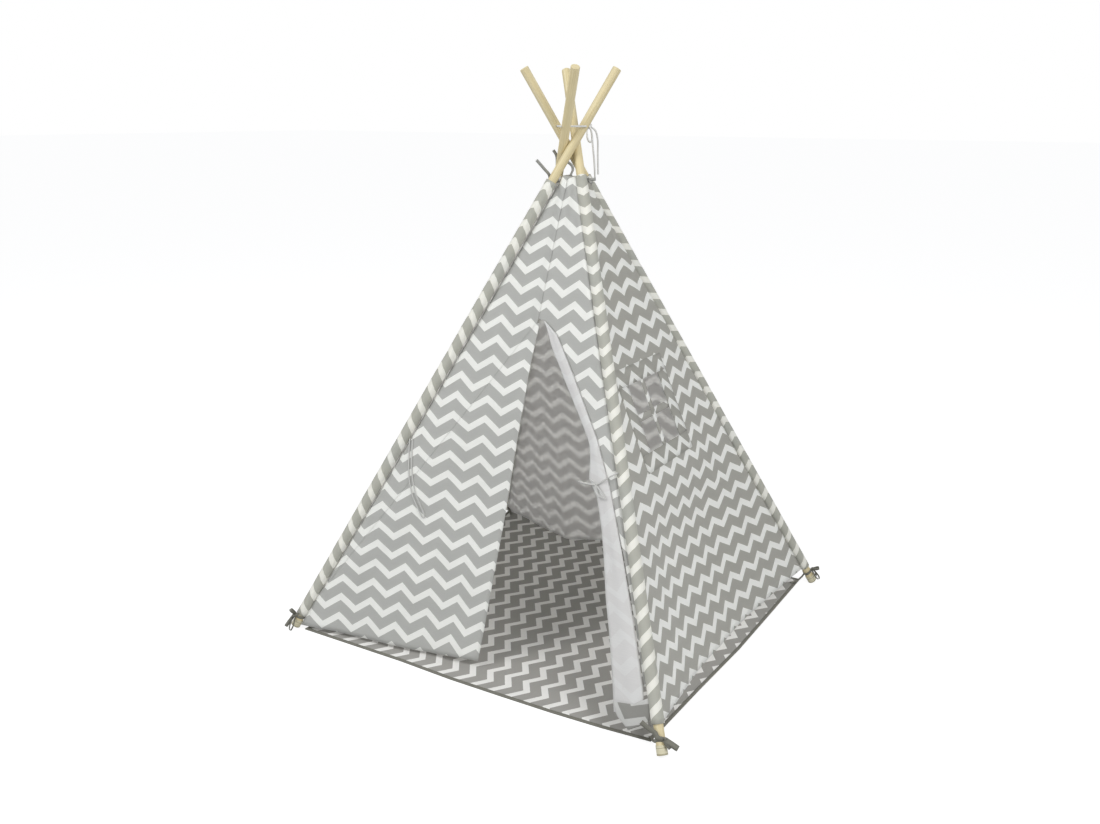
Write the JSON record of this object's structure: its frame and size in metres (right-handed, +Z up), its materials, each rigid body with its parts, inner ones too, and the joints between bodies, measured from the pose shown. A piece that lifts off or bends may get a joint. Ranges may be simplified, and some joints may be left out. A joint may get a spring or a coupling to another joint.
{
  "type": "kids teepee",
  "caption": "Play tent of crossed wooden poles with a zigzag-print cotton cover, a tied-back door, a cross window and a floor mat.",
  "frame": {"origin": "on the floor, in the middle of the footprint, under the crossing of the poles", "axes": "+Z up, -Y out of the door, +X towards the side with the window"},
  "size_m": [1.249, 1.1644, 1.5497],
  "materials": {
    "wood": "smooth pale pine",
    "foot_cap": "matt cream",
    "ferrule": "plain drawn tube",
    "cover_print": "cotton canvas, white zigzags on grey",
    "cover_reverse": "reverse of the cotton canvas",
    "mat_print": "cotton canvas, pale zigzags on dark grey",
    "mat_edge": "folded bias binding",
    "ribbon": "flat woven ribbon",
    "rope": "white twisted cord"
  },
  "bodies": {
    "ground_mat": {"floor_mat": "mat_print", "mat_binding": "mat_edge"},
    "crossing": {"crossing_rope": "rope", "rope_end_short": "rope", "rope_end_long": "rope"},
    "pole_fl": {"pole_fl_lower": "wood", "pole_fl_middle": "wood", "pole_fl_upper": "wood", "ferrule_fl_low": "ferrule", "ferrule_fl_high": "ferrule", "foot_cap_fl": "foot_cap", "cover_sleeve_fl": "cover_print", "mat_tie_fl": "ribbon", "cover_tie_fl": "ribbon"},
    "pole_fr": {"pole_fr_lower": "wood", "pole_fr_middle": "wood", "pole_fr_upper": "wood", "ferrule_fr_low": "ferrule", "ferrule_fr_high": "ferrule", "foot_cap_fr": "foot_cap", "cover_sleeve_fr": "cover_print", "mat_tie_fr": "ribbon", "cover_tie_fr": "ribbon"},
    "pole_br": {"pole_br_lower": "wood", "pole_br_middle": "wood", "pole_br_upper": "wood", "ferrule_br_low": "ferrule", "ferrule_br_high": "ferrule", "foot_cap_br": "foot_cap", "cover_sleeve_br": "cover_print", "mat_tie_br": "ribbon", "cover_tie_br": "ribbon"},
    "pole_bl": {"pole_bl_lower": "wood", "pole_bl_middle": "wood", "pole_bl_upper": "wood", "ferrule_bl_low": "ferrule", "ferrule_bl_high": "ferrule", "foot_cap_bl": "foot_cap", "cover_sleeve_bl": "cover_print", "mat_tie_bl": "ribbon", "cover_tie_bl": "ribbon"},
    "side_front": {"cover_front_left": "cover_print", "cover_front_right": "cover_print", "door_tie_left": "rope", "door_tie_right": "rope"},
    "door_left": {"door_flap_left": "cover_print"},
    "door_right": {"door_flap_right": "cover_reverse"},
    "side_left": {"cover_left": "cover_print"},
    "side_right": {"cover_right": "cover_print", "window_frame": "cover_print", "window_cross": "cover_print"},
    "side_back": {"cover_back": "cover_print"}
  },
  "joints": [
    {"name": "hub_lift", "type": "slide", "parent": "ground_mat", "child": "crossing", "axis": [0, 0, -1], "range_m": [-0.3216, 0], "deforming": ["cover_front_left", "cover_front_right", "cover_left", "cover_right", "cover_back", "window_frame", "window_cross", "door_flap_left", "door_flap_right", "door_tie_left", "door_tie_right", "crossing_rope", "rope_end_short", "rope_end_long"]},
    {"name": "pole_fl_hinge", "type": "hinge", "parent": "crossing", "child": "pole_fl", "pos_m": [0.01339, -0.01445, 1.3436], "axis": [0.6799, -0.7333, 0], "range_deg": [0, 23]},
    {"name": "pole_fr_hinge", "type": "hinge", "parent": "crossing", "child": "pole_fr", "pos_m": [0.01339, 0.01445, 1.3436], "axis": [0.6799, 0.7333, 0], "range_deg": [0, 23]},
    {"name": "pole_br_hinge", "type": "hinge", "parent": "crossing", "child": "pole_br", "pos_m": [-0.01339, 0.01445, 1.3436], "axis": [-0.6799, 0.7333, 0], "range_deg": [0, 23]},
    {"name": "pole_bl_hinge", "type": "hinge", "parent": "crossing", "child": "pole_bl", "pos_m": [-0.01339, -0.01445, 1.3436], "axis": [-0.6799, -0.7333, 0], "range_deg": [0, 23]},
    {"name": "side_front_hinge", "type": "hinge", "parent": "crossing", "child": "side_front", "pos_m": [0, 0, 1.3436], "axis": [1, 0, 0], "range_deg": [0, 17.5]},
    {"name": "side_back_hinge", "type": "hinge", "parent": "crossing", "child": "side_back", "pos_m": [0, 0, 1.3436], "axis": [-1, 0, 0], "range_deg": [0, 17.5]},
    {"name": "side_right_hinge", "type": "hinge", "parent": "crossing", "child": "side_right", "pos_m": [0, 0, 1.3436], "axis": [0, 1, 0], "range_deg": [0, 18.5]},
    {"name": "side_left_hinge", "type": "hinge", "parent": "crossing", "child": "side_left", "pos_m": [0, 0, 1.3436], "axis": [0, -1, 0], "range_deg": [0, 18.5]},
    {"name": "door_left_hinge", "type": "hinge", "parent": "side_front", "child": "door_left", "pos_m": [0.014, -0.18467, 0.90166], "axis": [-0.5322, -0.3192, -0.7841], "range_deg": [0, 110], "deforming": ["door_tie_left"]},
    {"name": "door_right_hinge", "type": "hinge", "parent": "side_front", "child": "door_right", "pos_m": [0.586, -0.53661, 0.04939], "axis": [-0.4409, 0.3384, 0.8313], "range_deg": [0, 60], "deforming": ["door_tie_right"]}
  ],
  "couplings": [
    {"joint": "pole_fl_hinge", "follows": "hub_lift", "rad_per_m": -1.2429},
    {"joint": "pole_fr_hinge", "follows": "hub_lift", "rad_per_m": -1.2429},
    {"joint": "pole_br_hinge", "follows": "hub_lift", "rad_per_m": -1.2429},
    {"joint": "pole_bl_hinge", "follows": "hub_lift", "rad_per_m": -1.2429},
    {"joint": "side_front_hinge", "follows": "hub_lift", "rad_per_m": -0.906},
    {"joint": "side_back_hinge", "follows": "hub_lift", "rad_per_m": -0.906},
    {"joint": "side_right_hinge", "follows": "hub_lift", "rad_per_m": -0.9673},
    {"joint": "side_left_hinge", "follows": "hub_lift", "rad_per_m": -0.9673}
  ]
}
